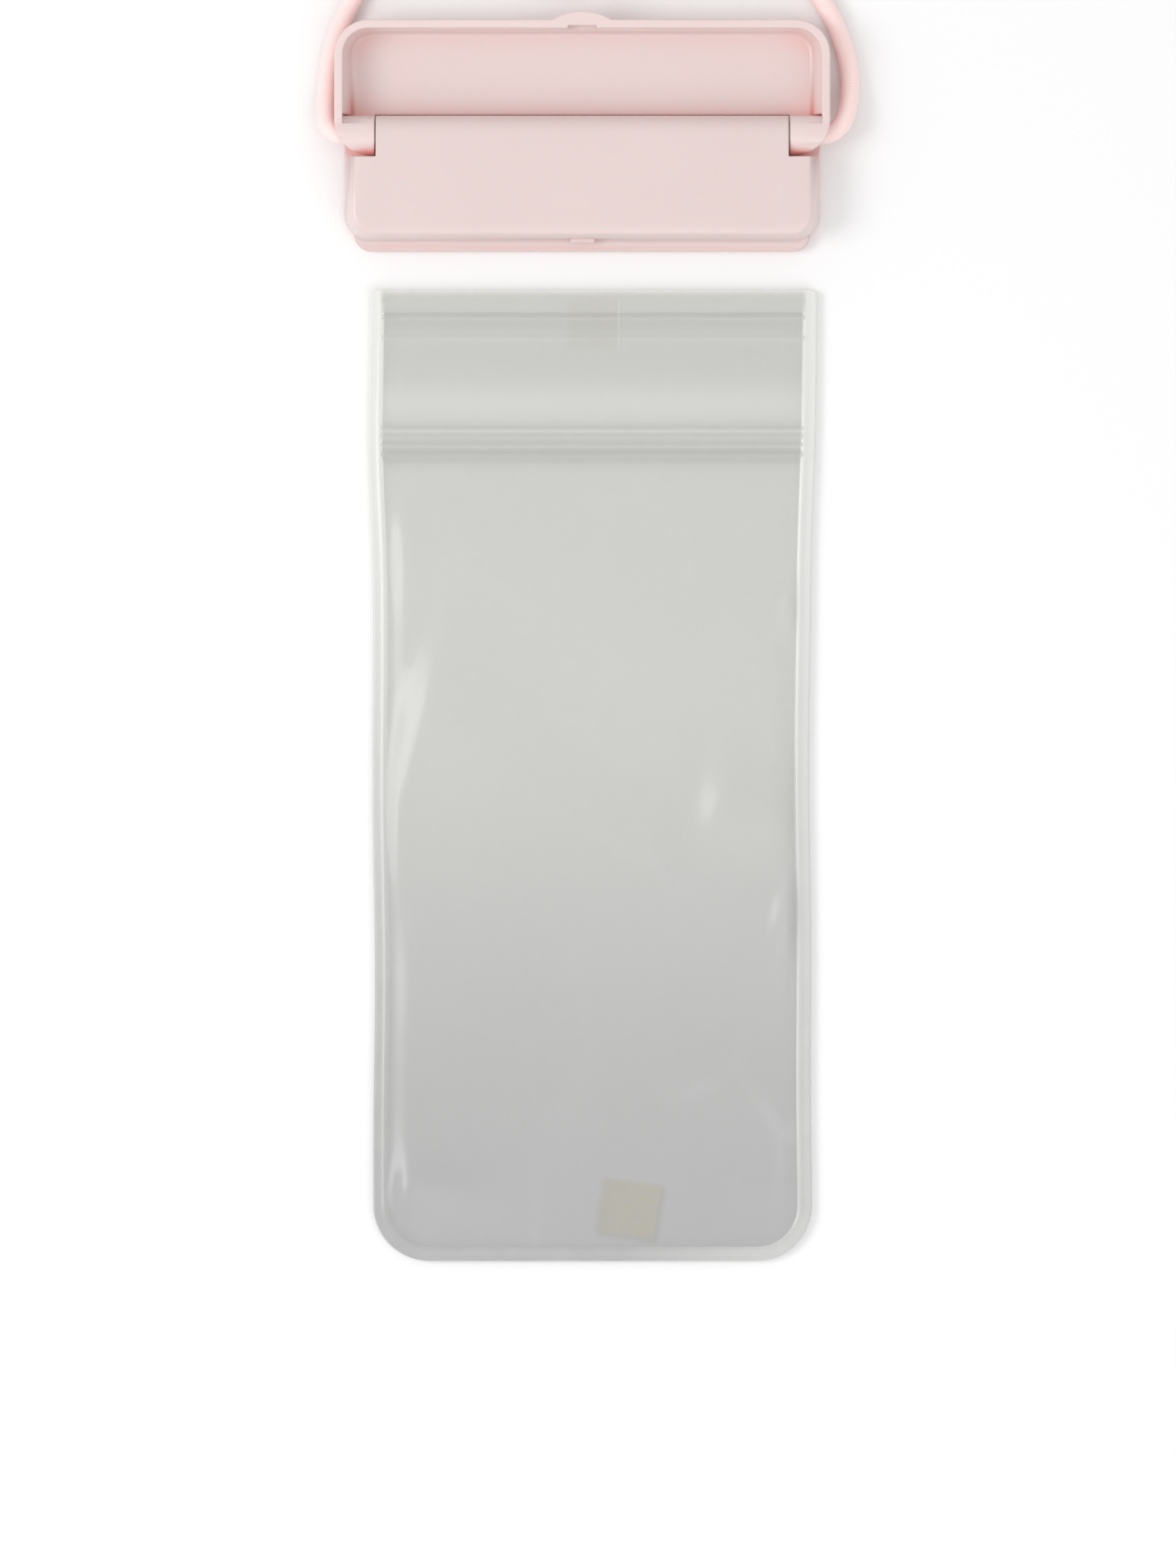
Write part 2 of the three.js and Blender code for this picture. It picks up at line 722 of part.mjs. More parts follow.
addPiece(pouch, 'neck_cord_left', cordRun(leftRoute), cordWeave());
addPiece(pouch, 'neck_cord_right', cordRun(rightRoute), cordWeave());

const coil = new THREE.Group();
coil.position.set(coilCentreX, coilCentreY, 0);
addPiece(coil, 'neck_cord_coil', geometryOf(coilRing()), cordWeave());
addPiece(coil, 'coil_tie', geometryOf(coilTie()), tieFabric());
pouch.add(coil);

export default pouch;
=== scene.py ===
import json
import math

import bpy
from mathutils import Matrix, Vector


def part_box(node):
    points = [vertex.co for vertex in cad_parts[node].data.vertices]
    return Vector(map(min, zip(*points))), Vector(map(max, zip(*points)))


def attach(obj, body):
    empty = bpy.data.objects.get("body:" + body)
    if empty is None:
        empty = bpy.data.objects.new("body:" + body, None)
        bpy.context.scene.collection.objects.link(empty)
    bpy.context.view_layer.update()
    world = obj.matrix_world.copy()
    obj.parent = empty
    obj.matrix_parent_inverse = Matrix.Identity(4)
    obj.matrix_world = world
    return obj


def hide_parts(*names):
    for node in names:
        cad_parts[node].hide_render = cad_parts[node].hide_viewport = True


bl_info = {
    "name": "Waterproof phone pouch",
    "version": (1, 0, 0),
    "blender": (4, 5, 0),
    "location": "3D View > Sidebar > Pouch",
    "description": "Dresses a clear phone pouch, its hinged clip and its neck cord",
    "category": "Object",
}

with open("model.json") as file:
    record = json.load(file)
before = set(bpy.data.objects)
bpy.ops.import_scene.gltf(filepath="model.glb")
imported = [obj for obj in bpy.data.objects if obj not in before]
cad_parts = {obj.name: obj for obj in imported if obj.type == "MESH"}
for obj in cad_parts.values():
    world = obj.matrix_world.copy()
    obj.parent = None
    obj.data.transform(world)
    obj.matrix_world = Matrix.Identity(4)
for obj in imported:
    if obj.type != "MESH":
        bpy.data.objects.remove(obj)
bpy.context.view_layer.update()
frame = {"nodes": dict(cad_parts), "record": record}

MM = 0.001
HINGE = Vector(frame["record"]["behaviour"]["joints"][0]["pos_m"])
BAG_LOW, BAG_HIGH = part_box("bag_back_film")
_, FRONT_FILM_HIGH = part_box("bag_front_film")
SEAL_LOW, SEAL_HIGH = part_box("seal_jaw_strip")
CORD_LOW, CORD_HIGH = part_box("cord_in_hinge")
COIL_LOW, COIL_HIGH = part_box("neck_cord_coil")
_, LID_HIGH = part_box("clip_lid")

BAG_X = (BAG_LOW.x + BAG_HIGH.x) / 2
CORD_DIAMETER = CORD_HIGH.z - CORD_LOW.z


# Sizes and colours that a user would change


class PouchStageSettings(bpy.types.PropertyGroup):
    camera_height: bpy.props.FloatProperty(
        name="Camera height", description="Height of the camera over the floor", default=4.0, unit="LENGTH"
    )
    view_height: bpy.props.FloatProperty(
        name="View height",
        description="Length of floor that the picture's long side shows",
        default=0.3814,
        unit="LENGTH",
    )
    view_x: bpy.props.FloatProperty(
        name="View centre X",
        description="Point under the camera, along the hinge",
        default=0.0014,
        unit="LENGTH",
    )
    view_y: bpy.props.FloatProperty(
        name="View centre Y",
        description="Point under the camera, along the bag",
        default=-0.0358,
        unit="LENGTH",
    )
    key_power: bpy.props.FloatProperty(
        name="Key light", description="Power of the soft light at the left", default=5.2, unit="POWER"
    )
    key_tilt: bpy.props.FloatProperty(
        name="Key tilt",
        description="Angle of the soft light from straight above",
        default=math.radians(42),
        subtype="ANGLE",
    )
    fill_power: bpy.props.FloatProperty(
        name="Fill light", description="Power of the broad soft light low in front", default=3.4, unit="POWER"
    )
    ambient: bpy.props.FloatProperty(
        name="Ambient", description="Strength of the even light all round", default=0.83, min=0.0
    )


class PouchClipSettings(bpy.types.PropertyGroup):
    colour: bpy.props.FloatVectorProperty(
        name="Colour",
        description="Colour of the moulded plastic",
        default=(0.705, 0.577, 0.562),
        subtype="COLOR",
    )
    # Painted shade: a redder colour that the plastic takes in its narrow corners, for the shade and
    # inter-reflection there
    corner_shade_colour: bpy.props.FloatVectorProperty(
        name="Deep colour",
        description="Colour of the plastic in its narrow corners",
        default=(0.88, 0.44, 0.41),
        subtype="COLOR",
    )
    edge_round: bpy.props.FloatProperty(
        name="Edge radius", description="Rounding of the moulded edges", default=0.0007, unit="LENGTH"
    )


class PouchBagSettings(bpy.types.PropertyGroup):
    mouth_colour: bpy.props.FloatVectorProperty(
        name="Mouth colour",
        description="Tint of the film near the mouth",
        default=(0.755, 0.761, 0.725),
        subtype="COLOR",
    )
    foot_colour: bpy.props.FloatVectorProperty(
        name="Foot colour",
        description="Tint of the film near the foot",
        default=(0.572, 0.577, 0.571),
        subtype="COLOR",
    )
    stain_colour: bpy.props.FloatVectorProperty(
        name="Stain colour",
        description="Old adhesive left on the film",
        default=(0.6, 0.57, 0.47),
        subtype="COLOR",
    )
    film_thickness: bpy.props.FloatProperty(
        name="Film thickness", description="Thickness of each film", default=0.000375, unit="LENGTH"
    )
    weld_width: bpy.props.FloatProperty(
        name="Weld width", description="Width of the weld round the bag", default=0.0034, unit="LENGTH"
    )
    pucker: bpy.props.FloatProperty(
        name="Pucker",
        description="How strongly the slack film puckers",
        default=1.0,
        min=0.0,
        subtype="FACTOR",
    )


class PouchCordSettings(bpy.types.PropertyGroup):
    colour: bpy.props.FloatVectorProperty(
        name="Colour", description="Colour of the woven cord", default=(0.96, 0.74, 0.72), subtype="COLOR"
    )
    sides: bpy.props.IntProperty(name="Sides", description="Faces round the cord", default=20, min=8)
    station: bpy.props.FloatProperty(
        name="Station", description="Distance between rings of the cord", default=0.0012, unit="LENGTH"
    )


# Shader maths as expressions


class Value:
    """A socket of a finish that takes part in Python expressions."""

    def __init__(self, finish, socket):
        self.finish = finish
        self.socket = socket

    def maths(self, operation, *others):
        return self.finish.node(
            "ShaderNodeMath", settings={"operation": operation}, numbered=dict(enumerate((self, *others)))
        )

    def __add__(self, other):
        return self.maths("ADD", other)

    def __sub__(self, other):
        return self.maths("SUBTRACT", other)

    def __mul__(self, other):
        return self.maths("MULTIPLY", other)

    def __rsub__(self, other):
        return (self * -1.0) + other

    __radd__ = __add__
    __rmul__ = __mul__


class Finish:
    """A material built from nodes, with its Principled shader."""

    def __init__(self, name):
        self.material = bpy.data.materials.new(name)
        self.material.use_nodes = True
        self.tree = self.material.node_tree
        self.shader = self.tree.nodes["Principled BSDF"]

    def feed(self, socket, item):
        """Links a value to a socket, or sets the socket to a number, a vector or a colour."""
        if isinstance(item, Value):
            self.tree.links.new(item.socket, socket)
        elif socket.type == "RGBA":
            socket.default_value = (*item, 1.0)
        else:
            socket.default_value = item

    def node(self, kind, output=0, settings=None, numbered=None, **named):
        """Adds a node: first its settings, then its sockets by number or by name."""
        made = self.tree.nodes.new(kind)
        for key, setting in (settings or {}).items():
            setattr(made, key, setting)
        for number, item in (numbered or {}).items():
            self.feed(made.inputs[number], item)
        for name, item in named.items():
            self.feed(made.inputs[name.replace("_", " ")], item)
        return Value(self, made.outputs[output])

    def split(self, vector):
        """The X, Y and Z of a vector."""
        parts = self.node("ShaderNodeSeparateXYZ", Vector=vector).socket.node.outputs
        return [Value(self, part) for part in parts]

    def point(self):
        """The surface's own place in metres."""
        return self.node("ShaderNodeTexCoord", output="Object")

    def place(self):
        """The surface's own place in metres, whole and as X, Y and Z."""
        point = self.point()
        return point, *self.split(point)

    def noise(self, point, scale, detail):
        return self.node("ShaderNodeTexNoise", output="Fac", Vector=point, Scale=scale, Detail=detail)

    def smooth(self, item, low, high):
        """0 below low and 1 above high, with a soft step between."""
        settings = {"interpolation_type": "SMOOTHSTEP"}
        return self.node("ShaderNodeMapRange", settings=settings, Value=item, From_Min=low, From_Max=high)

    def marks(self, place, marks):
        """The sum of soft bands across a surface, each with its name, middle, half width and strength."""
        fade = 1.5
        total = 0.0
        for _, middle, reach, strength in marks:
            away = (place - middle).maths("ABSOLUTE")
            total = (1.0 - self.smooth(away, 0.0, fade * reach)) * strength + total
        return total

    def mix(self, factor, first, second):
        """The first colour where the factor is 0, the second where it is 1."""
        sockets = {0: factor, 6: first, 7: second}
        return self.node("ShaderNodeMix", output=2, settings={"data_type": "RGBA"}, numbered=sockets)

    def bump(self, height, distance, strength, **named):
        return self.node("ShaderNodeBump", Height=height, Distance=distance, Strength=strength, **named)

    def surface(self, **named):
        for name, item in named.items():
            self.feed(self.shader.inputs[name.replace("_", " ")], item)


def shade(colour, factor):
    return tuple(min(1.0, channel * factor) for channel in colour)


# Moulded plastic: its flow marks and sparked grain; how narrow a corner has to be for the painted shade, a
# redder colour put in the corners for the shade and inter-reflection there; how much lighter the lid's colour
# is painted to make up for the light that its walls keep off its floor; and the painted highlight on the
# lid's rim, as places below the rim and beyond the hinge line
FLOW_SCALE = 45.0
FLOW_SHADES = (0.985, 1.015)
GRAIN_SCALE = 2600.0
GRAIN_DEPTH = 0.03 * MM
GRAIN_STRENGTH = 0.3
BEVEL_SAMPLES = 6
CORNER_SAMPLES = 8
CORNER_REACH = 10 * MM
CORNER_NARROW, CORNER_OPEN = 0.05, 0.85
LID_PAINTED_LIGHT = 1.06
RIM_HIGHLIGHT_COLOUR = (0.95, 0.85, 0.82)
RIM_HIGHLIGHT_STRENGTH = 0.9
RIM_FOOT, RIM_TOP = 0.8 * MM, 0.2 * MM
RIM_START, RIM_FULL = 5 * MM, 8 * MM


def plastic_finish(name, colour, corner_shade_colour, edge_round, rim_height):
    """Satin moulded plastic with soft edges, painted shade in its corners and a painted highlight on a rim,
    if it has one.
    """
    finish = Finish(name)
    point, _, y, z = finish.place()
    flow = finish.noise(point, FLOW_SCALE, 2.0)
    grain = finish.noise(point, GRAIN_SCALE, 2.0)
    edges = finish.node("ShaderNodeBevel", settings={"samples": BEVEL_SAMPLES}, Radius=edge_round)
    openness = finish.node(
        "ShaderNodeAmbientOcclusion", output="AO", settings={"samples": CORNER_SAMPLES}, Distance=CORNER_REACH
    )
    body = finish.mix(flow, *(shade(colour, factor) for factor in FLOW_SHADES))
    # Painted shade: narrow corners take the corner shade colour, standing in for shade and inter-reflection
    body = finish.mix(finish.smooth(openness, CORNER_NARROW, CORNER_OPEN), corner_shade_colour, body)
    # Painted highlight: the top of the lid's rim is painted paler
    if rim_height:
        rim = finish.smooth(z, rim_height - RIM_FOOT, rim_height - RIM_TOP)
        rim = rim * finish.smooth(y, HINGE.y + RIM_START, HINGE.y + RIM_FULL)
        body = finish.mix(rim * RIM_HIGHLIGHT_STRENGTH, body, RIM_HIGHLIGHT_COLOUR)
    finish.surface(
        Base_Color=body,
        Roughness=0.34 + flow * 0.1,
        IOR=1.5,
        Coat_Weight=0.5,
        Coat_Roughness=0.2,
        Subsurface_Weight=0.2,
        Subsurface_Scale=3 * MM,
        Subsurface_Radius=(1.0, 0.35, 0.3),
        Normal=finish.bump(grain, GRAIN_DEPTH, GRAIN_STRENGTH, Normal=edges),
    )
    return finish.material


def quadrilateral(finish, x, y, centre, half, turn, softness):
    """A mask that is 1 inside a turned rectangle."""
    dx, dy = x - centre[0], y - centre[1]
    along = dx * math.cos(turn) + dy * math.sin(turn)
    across = dy * math.cos(turn) - dx * math.sin(turn)
    inside = [
        1.0 - finish.smooth(side.maths("ABSOLUTE"), reach - softness, reach + softness)
        for side, reach in ((along, half[0]), (across, half[1]))
    ]
    return inside[0] * inside[1]


# Bands across the film, each with its name, its middle down from the mouth and its half width in millimetres,
# and how much lighter or darker it is as a share of the film's tone. The lighter bands on the hem fold, the
# neck rise and the jaws are painted highlights; the darker ones are partly the film's extra layers and partly
# painted shade in the crease, the neck, the flap end, the ribs and the seal's foot
FILM_LAYERS_AND_PAINTED_LIGHT = (
    ("hem fold", 0.0, 1.0, 0.14),
    ("hem layers", 5.5, 5.0, -0.07),
    ("hem crease", 5.65, 0.35, -0.08),
    ("flap end", 8.0, 2.6, -0.04),
    ("neck", 15.0, 8.0, -0.045),
    ("neck rise", 27.5, 4.5, 0.06),
    ("first rib", 33.5, 0.4, -0.05),
    ("first jaw", 34.6, 0.6, 0.085),
    ("seal layers", 38.2, 4.6, -0.1),
    ("second rib", 38.8, 0.3, -0.03),
    ("second jaw", 38.1, 0.3, 0.05),
    ("seal foot", 40.6, 1.4, -0.08),
)
FILM_TONE = 1.01
FILM_OPACITY = 0.42

# The film's colour changes, darker at the foot, from the foot up to this far below the mouth
COLOUR_CHANGE_END = 85 * MM

# Cloudy haze, fine scuffs along the edges of stretched cells, and ripples
HAZE_COLOUR = (0.78, 0.79, 0.79)
HAZE_SCALE = 22.0
HAZE_STRENGTH = 0.15
HAZE_THIN, HAZE_THICK = 0.45, 0.7
SCUFF_CELLS = (26.0, 17.0, 17.0)
SCUFF_TURN = 0.5
SCUFF_WIDTH = 0.07
SCUFF_STRENGTH = 0.16
RIPPLE_SCALE = 120.0
RIPPLE_DEPTH = 0.2 * MM

# Old adhesive: centre, half sizes, turn and softness of the smear in the hem, the light line beside it, the
# patch near the foot and the painted shadow along the patch's lower right edges
SMEAR = ((2.8 * MM, 76.2 * MM), (6.2 * MM, 5.8 * MM), 0.0, 1.2 * MM)
SMEAR_LINE = ((8.9 * MM, 76.2 * MM), (0.2 * MM, 5.8 * MM), 0.0, 0.2 * MM)
PATCH = ((11.1 * MM, -139.0 * MM), (7.3 * MM, 6.6 * MM), -0.15, 0.5 * MM)
PATCH_PAINTED_SHADOW = ((11.7 * MM, -139.6 * MM), (7.5 * MM, 6.8 * MM), -0.15, 1.1 * MM)
SMEAR_STRENGTH = 0.22
SMEAR_LINE_STRENGTH = 0.5
SMEAR_LINE_COLOUR = (0.85, 0.84, 0.78)
PATCH_STRENGTH = 0.8
PATCH_WORN, PATCH_WHOLE = 3.0 * MM, 8.5 * MM
WORN_SHARE = 0.35
PATCH_SHADOW_STRENGTH = 0.4
PATCH_SHADOW_DARKNESS = 0.7
SPECKLE_SCALE = 420.0
SPECKLE_THIN, SPECKLE_THICK = 0.35, 0.62
SPECKLE_SHARE = 0.25


def add_adhesive(finish, body, settings):
    """The film's colour with its old adhesive and a painted shadow along the adhesive patch's lower right
    edges.
    """
    point, x, y, _ = finish.place()
    smear, line, patch, patch_shadow = (
        quadrilateral(finish, x, y, *mark) for mark in (SMEAR, SMEAR_LINE, PATCH, PATCH_PAINTED_SHADOW)
    )
    speckle = finish.smooth(finish.noise(point, SPECKLE_SCALE, 3.0), SPECKLE_THIN, SPECKLE_THICK)
    worn = finish.smooth(x, PATCH_WORN, PATCH_WHOLE) * WORN_SHARE + (1 - WORN_SHARE)
    stain = smear * SMEAR_STRENGTH + patch * worn * PATCH_STRENGTH
    stain = stain * (1 - SPECKLE_SHARE + speckle * SPECKLE_SHARE)
    # Painted shadow: an offset copy of the patch darkens the film along its lower right edges
    body = finish.mix(patch_shadow * PATCH_SHADOW_STRENGTH, body, shade(settings.foot_colour, PATCH_SHADOW_DARKNESS))
    body = finish.mix(stain, body, settings.stain_colour)
    return finish.mix(line * SMEAR_LINE_STRENGTH, body, SMEAR_LINE_COLOUR)


def film_finish(name, settings, stained):
    """Soft clear film: hazy, greyer towards the foot, with painted light and shade in bands across it, fine
    ripples and, if stained, old adhesive and a painted shadow.
    """
    finish = Finish(name)
    point, _, y, _ = finish.place()
    down = finish.smooth(y, BAG_LOW.y, BAG_HIGH.y - COLOUR_CHANGE_END)
    haze = finish.noise(point, HAZE_SCALE, 4.0)
    cells = finish.node("ShaderNodeMapping", Vector=point, Scale=SCUFF_CELLS, Rotation=(0, 0, SCUFF_TURN))
    crease = finish.node(
        "ShaderNodeTexVoronoi", settings={"feature": "DISTANCE_TO_EDGE"}, Vector=cells, Scale=1.0
    )
    scuff = (1.0 - finish.smooth(crease, 0.0, SCUFF_WIDTH)) * finish.smooth(haze, HAZE_THIN, HAZE_THICK)
    body = finish.mix(down, settings.foot_colour, settings.mouth_colour)
    body = finish.mix(haze * HAZE_STRENGTH + scuff * SCUFF_STRENGTH, body, HAZE_COLOUR)
    # Painted highlights and shade, together with the film's extra layers, in bands across the film
    tone = finish.marks((y * -1.0 + BAG_HIGH.y) * (1.0 / MM), FILM_LAYERS_AND_PAINTED_LIGHT)
    body = finish.node("ShaderNodeHueSaturation", Value=tone + FILM_TONE, Color=body)
    if stained:
        body = add_adhesive(finish, body, settings)
    finish.surface(
        Base_Color=body,
        Roughness=0.2 + haze * 0.1,
        IOR=1.55,
        Alpha=FILM_OPACITY,
        Normal=finish.bump(finish.noise(point, RIPPLE_SCALE, 2.0), RIPPLE_DEPTH, 0.25),
    )
    return finish.material


# The weld is darker than the film at the foot, lighter at the mouth, and lighter still along its right side,
# where painted light lifts it out of the film's shadow
WELD_FOOT_SHADE = 0.85
WELD_MOUTH_SHADE = 1.2
WELD_CLOUD_COLOUR = (0.85, 0.85, 0.84)
WELD_CLOUD_SCALE = 160.0
WELD_CLOUD_DEPTH = 0.2 * MM
WELD_CLOUD_STRENGTH = 0.2
WELD_PAINTED_LIGHT_SIDE = 50 * MM
WELD_PAINTED_LIGHT_STRENGTH = 0.4
WELD_OPACITY = 0.7


def weld_finish(settings):
    """Thick welded edge of the film."""
    finish = Finish("bag_weld")
    point, x, y, _ = finish.place()
    down = finish.smooth(y, BAG_LOW.y, BAG_HIGH.y)
    cloud = finish.noise(point, WELD_CLOUD_SCALE, 3.0)
    # Painted light: the weld gets lighter towards its right side, standing in for light that the film's
    # shadow keeps off it
    side = finish.smooth(x, 0.0, WELD_PAINTED_LIGHT_SIDE)
    light = cloud * WELD_CLOUD_STRENGTH + side * WELD_PAINTED_LIGHT_STRENGTH
    foot, mouth = shade(settings.foot_colour, WELD_FOOT_SHADE), shade(settings.mouth_colour, WELD_MOUTH_SHADE)
    finish.surface(
        Base_Color=finish.mix(light, finish.mix(down, foot, mouth), WELD_CLOUD_COLOUR),
        Roughness=0.16 + cloud * 0.12,
        IOR=1.5,
        Alpha=WELD_OPACITY,
        Normal=finish.bump(cloud, WELD_CLOUD_DEPTH, 0.2),
    )
    return finish.material


# The seal's draw lines run along X, so they are stretched that way
DRAW_SCALE = (20.0, 2400.0, 20.0)
DRAW_SHADES = (0.8, 1.1)
DRAW_DEPTH = 0.05 * MM
SEAL_OPACITY = 0.5


def seal_finish(settings):
    """Clear extrusion with fine draw lines along it."""
    finish = Finish("press_seal")
    stretched = finish.node("ShaderNodeMapping", Vector=finish.point(), Scale=DRAW_SCALE)
    draw = finish.noise(stretched, 1.0, 2.0)
    finish.surface(
        Base_Color=finish.mix(draw, *(shade(settings.mouth_colour, factor) for factor in DRAW_SHADES)),
        Roughness=0.2 + draw * 0.1,
        IOR=1.5,
        Alpha=SEAL_OPACITY,
        Normal=finish.bump(draw, DRAW_DEPTH, 0.5),
    )
    return finish.material


FULL_TURN = 2.0 * math.pi
FUZZ_SCALE = 1800.0
WEAVE_PITCH = 1.6 * MM
WEAVE_STRANDS = 24
WEAVE_SHADES = (0.94, 1.03)
WEAVE_DEPTH = 0.06 * MM
CLOTH_PITCH = 0.8 * MM
CLOTH_SHADES = (0.88, 1.05)
CLOTH_DEPTH = 0.1 * MM
TIE_SHADE = 0.96


def weave_finish(name, colour, length):
    """Fine diagonal weave on the piece's own UV map, which runs once round the cord and once along it."""
    finish = Finish(name)
    around, along, _ = finish.split(finish.node("ShaderNodeUVMap", settings={"uv_map": "UVMap"}))
    lengths = along * (FULL_TURN * length / WEAVE_PITCH)
    turns = around * (FULL_TURN * WEAVE_STRANDS / 2)
    weave = ((lengths + turns).maths("SINE") * (lengths - turns).maths("SINE") + 1.0) * 0.5
    fuzz = finish.noise(finish.point(), FUZZ_SCALE, 2.0)
    finish.surface(
        Base_Color=finish.mix(weave * 0.7 + fuzz * 0.3, *(shade(colour, factor) for factor in WEAVE_SHADES)),
        Roughness=0.55 + weave * 0.1,
        Sheen_Weight=0.15,
        Sheen_Roughness=0.4,
        Subsurface_Weight=0.4,
        Subsurface_Scale=2.5 * MM,
        Subsurface_Radius=(1.0, 0.4, 0.35),
        Normal=finish.bump(weave + fuzz * 0.4, WEAVE_DEPTH, 0.5),
    )
    return finish.material


def woven_block_finish(name, colour):
    """The same cloth on a piece without a UV map."""
    finish = Finish(name)
    point, x, y, z = finish.place()
    warp = (x * (FULL_TURN / CLOTH_PITCH)).maths("SINE")
    weft = ((y + z) * (FULL_TURN / CLOTH_PITCH)).maths("SINE")
    weave = (warp * weft + 1.0) * 0.5
    fuzz = finish.noise(point, FUZZ_SCALE, 2.0)
    finish.surface(
        Base_Color=finish.mix(weave * 0.6 + fuzz * 0.4, *(shade(colour, factor) for factor in CLOTH_SHADES)),
        Roughness=0.75 + weave * 0.1,
        Sheen_Weight=0.25,
        Sheen_Roughness=0.4,
        Normal=finish.bump(weave + fuzz * 0.4, CLOTH_DEPTH, 0.6),
    )
    return finish.material


# Modelling helpers

# Distances under which points merge, the angle under which faces are one, and those under which edges are
# shaded smooth
SWEPT_MERGE = 0.002 * MM
SWEPT_SMOOTH = math.radians(50)
MOULDED_MERGE = 0.0005 * MM
MOULDED_FLAT = math.radians(0.3)
MOULDED_SMOOTH = math.radians(35)
FILM_SMOOTH = math.radians(60)


def select_only(obj):
    bpy.ops.object.select_all(action="DESELECT")
    obj.select_set(True)
    bpy.context.view_layer.objects.active = obj


def apply_modifier(obj, kind, **settings):
    select_only(obj)
    modifier = obj.modifiers.new(kind.title(), kind)
    for key, setting in settings.items():
        setattr(modifier, key, setting)
    bpy.ops.object.modifier_apply(modifier=modifier.name)


def finish_piece(obj, material, body, slot, *nodes):
    obj.data.materials.clear()
    obj.data.materials.append(material)
    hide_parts(*nodes)
    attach(obj, body)


def grid_piece(name, columns, rows, place):
    """A grid whose every point is put where place says, from its column and its row."""
    bpy.ops.object.select_all(action="DESELECT")
    bpy.ops.mesh.primitive_grid_add(x_subdivisions=columns, y_subdivisions=rows, size=2, location=(0, 0, 0))
    obj = bpy.context.active_object
    obj.name = obj.data.name = name
    for vertex in obj.data.vertices:
        column = round((vertex.co.x + 1) / 2 * columns)
        row = round((1 - vertex.co.y) / 2 * rows)
        vertex.co = place(column, row)
    return obj


def swept_piece(name, rings):
    """A closed solid through rings of points, as a grid that is joined round its seam and capped."""
    count = len(rings[0])
    obj = grid_piece(name, count, len(rings) - 1, lambda column, row: rings[row][column % count])
    select_only(obj)
    bpy.ops.object.mode_set(mode="EDIT")
    bpy.ops.mesh.select_all(action="SELECT")
    bpy.ops.mesh.remove_doubles(threshold=SWEPT_MERGE)
    bpy.ops.mesh.select_all(action="DESELECT")
    bpy.ops.mesh.select_non_manifold()
    bpy.ops.mesh.fill_holes(sides=0)
    bpy.ops.mesh.select_all(action="SELECT")
    bpy.ops.mesh.normals_make_consistent(inside=False)
    bpy.ops.object.mode_set(mode="OBJECT")
    bpy.ops.object.shade_smooth_by_angle(angle=SWEPT_SMOOTH)
    return obj


def moulded_copy(node, name):
    """A merged copy of a packed moulding, with its flat faces whole and its curves smooth."""
    source = frame["nodes"][node]
    obj = bpy.data.objects.new(name, source.data.copy())
    bpy.context.scene.collection.objects.link(obj)
    select_only(obj)
    bpy.ops.object.mode_set(mode="EDIT")
    bpy.ops.mesh.select_all(action="SELECT")
    bpy.ops.mesh.remove_doubles(threshold=MOULDED_MERGE)
    bpy.ops.mesh.dissolve_limited(angle_limit=MOULDED_FLAT)
    bpy.ops.object.mode_set(mode="OBJECT")
    bpy.ops.object.shade_smooth_by_angle(angle=MOULDED_SMOOTH)
    return obj


# Cord: one length from the left ear through the stored coil to the right ear

# Routes from the ears to the coil, in millimetres from the hinge line
LEFT_ROUTE = (
    (-54.4, 0, 7.4),
    (-57.2, 0, 7.4),
    (-59.4, 0.3, 7.3),
    (-61.5, 1.7, 6.8),
    (-62.4, 4.2, 5.8),
    (-62.4, 7.5, 4.3),
    (-62.2, 11, 3.2),
    (-61.9, 15, 2.5),
    (-61.2, 19.5, 2.4),
    (-59.9, 24.2, 2.4),
    (-58.1, 28.5, 2.4),
    (-55.9, 33, 2.4),
    (-51.4, 40.5, 2.4),
    (-45.6, 49, 2.5),
    (-40.4, 57.4, 2.8),
    (-37.3, 63.8, 3),
    (-35.6, 71, 3.2),
)

RIGHT_ROUTE = (
    (54.4, 0, 7.4),
    (57.2, 0, 7.4),
    (59.5, 0.3, 7.3),
    (61.8, 1.5, 6.8),
    (63.6, 4, 5.8),
    (64.6, 7.5, 4.4),
    (65, 11.2, 3.3),
    (64.9, 15.4, 2.6),
    (64.1, 19.8, 2.45),
    (62.6, 24.4, 2.4),
    (60.6, 29, 2.4),
    (58, 33.4, 2.4),
    (53.2, 40.6, 2.9),
    (47, 49, 4.1),
    (40.8, 57.4, 6),
    (37.4, 63.8, 7.2),
    (35.6, 71, 7.8),
)

# The stored coil: its outer turn, the pitch of its turns, its two layers, and how its ends lead in
COIL_OUTER_TURN = 30.5 * MM
COIL_TURN_PITCH = 4.8 * MM
COIL_TURNS = 5.5
COIL_POINTS_PER_TURN = 18
COIL_LOWER_LAYER = 3.2 * MM
COIL_UPPER_LAYER = 8.0 * MM
COIL_CLIMB_TURNS = 0.3
COIL_LEAD = 5.1 * MM
COIL_LEAD_TURNS = 0.16

# Steps of the curve between two points of a route
CURVE_STEPS = 12


def eased(part):
    """From 0 to 1 with a soft step."""
    part = min(1.0, max(0.0, part))
    return part * part * (3 - 2 * part)


